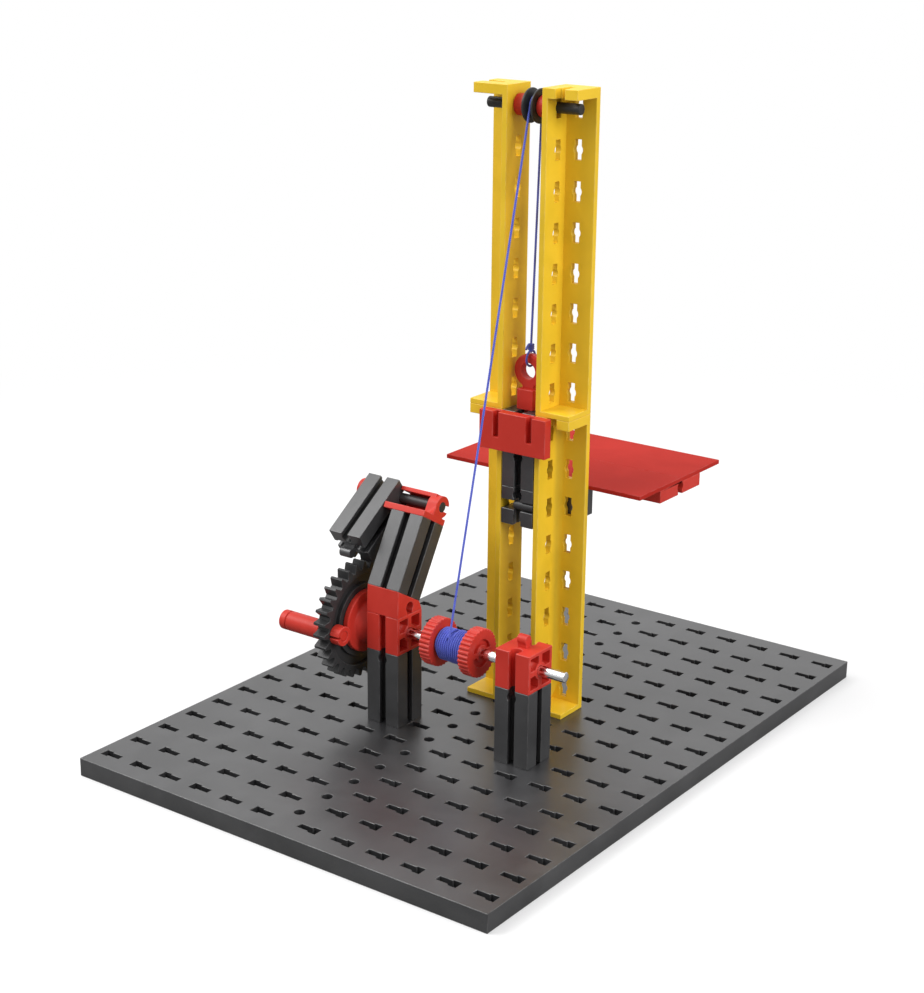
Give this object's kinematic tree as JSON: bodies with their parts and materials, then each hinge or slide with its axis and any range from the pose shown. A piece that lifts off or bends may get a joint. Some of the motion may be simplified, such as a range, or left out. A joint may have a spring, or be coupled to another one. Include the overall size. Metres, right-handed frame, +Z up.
{
  "type": "string winch lift model",
  "caption": "Construction-set lift model: a hand crank and toothed wheel wind a string over a pulley and raise a platform carriage in a slotted tower, with a hinged pawl to hold it.",
  "frame": {"origin": "centre of the base plate's underside", "axes": "+X along the winch axle to its free end, +Y from the winch to the tower and platform, +Z up"},
  "size_m": [0.186, 0.2588, 0.2472],
  "materials": {
    "dark_plastic": "fine-grained dark grey moulded plastic",
    "red_plastic": "satin red moulded plastic",
    "yellow_plastic": "satin yellow moulded plastic",
    "black_plastic": "black moulded plastic",
    "steel_axle": "bright metal",
    "string": "blue twisted string"
  },
  "bodies": {
    "base": {"base_plate": "dark_plastic", "winch_post_left": "dark_plastic", "winch_post_right": "dark_plastic", "bearing_block_left": "red_plastic", "bearing_block_right": "red_plastic", "wedge_block": "red_plastic", "pawl_post": "dark_plastic", "hinge_bracket": "red_plastic", "hinge_axle": "black_plastic", "hinge_clip": "red_plastic", "girder_lower_left": "yellow_plastic", "girder_lower_right": "yellow_plastic", "girder_upper_left": "yellow_plastic", "girder_upper_right": "yellow_plastic", "top_axle": "black_plastic", "bushing_left": "red_plastic", "bushing_right": "red_plastic", "string_run": "string"},
    "winch": {"winch_axle": "steel_axle", "drive_gear": "black_plastic", "hub_collet": "black_plastic", "hub_nut": "red_plastic", "crank_pin": "red_plastic", "crank_clip": "red_plastic", "drum_core": "black_plastic", "drum_flange_left": "red_plastic", "drum_flange_right": "red_plastic", "string_winding": "string"},
    "grip": {"crank_grip": "red_plastic"},
    "pawl": {"pawl_block": "dark_plastic"},
    "pulley_wheel": {"pulley": "black_plastic"},
    "carriage": {"carriage_block_upper": "dark_plastic", "carriage_block_middle": "dark_plastic", "carriage_block_lower": "dark_plastic", "carriage_pin": "black_plastic", "front_plate": "red_plastic", "eye": "red_plastic", "rear_block": "dark_plastic", "deck_front": "red_plastic", "deck_rear": "red_plastic", "joining_block_left": "red_plastic", "joining_block_right": "red_plastic", "string_knot": "string", "string_hoist": "string"}
  },
  "joints": [
    {"name": "winch_turn", "type": "hinge", "parent": "base", "child": "winch", "pos_m": [0.0075, -0.03, 0.0447], "axis": [1, 0, 0], "range_deg": [-696, 696]},
    {"name": "carriage_lift", "type": "slide", "parent": "base", "child": "carriage", "axis": [0, 0, 1], "range_m": [-0.074, 0.074], "deforming": ["string_hoist"]},
    {"name": "pulley_turn", "type": "hinge", "parent": "base", "child": "pulley_wheel", "pos_m": [0.0075, 0.015, 0.2397], "axis": [1, 0, 0], "range_deg": [-1133, 1133]},
    {"name": "grip_turn", "type": "hinge", "parent": "winch", "child": "grip", "pos_m": [-0.0522, -0.04647, 0.04372], "axis": [1, 0, 0], "continuous": true},
    {"name": "pawl_swing", "type": "hinge", "parent": "base", "child": "pawl", "pos_m": [-0.0419, -0.00962, 0.08952], "axis": [-1, 0, 0], "range_deg": [-5.6, 120]}
  ],
  "couplings": [
    {"joint": "winch_turn", "follows": "carriage_lift", "rad_per_m": 163.93},
    {"joint": "pulley_turn", "follows": "carriage_lift", "rad_per_m": 266.67}
  ]
}
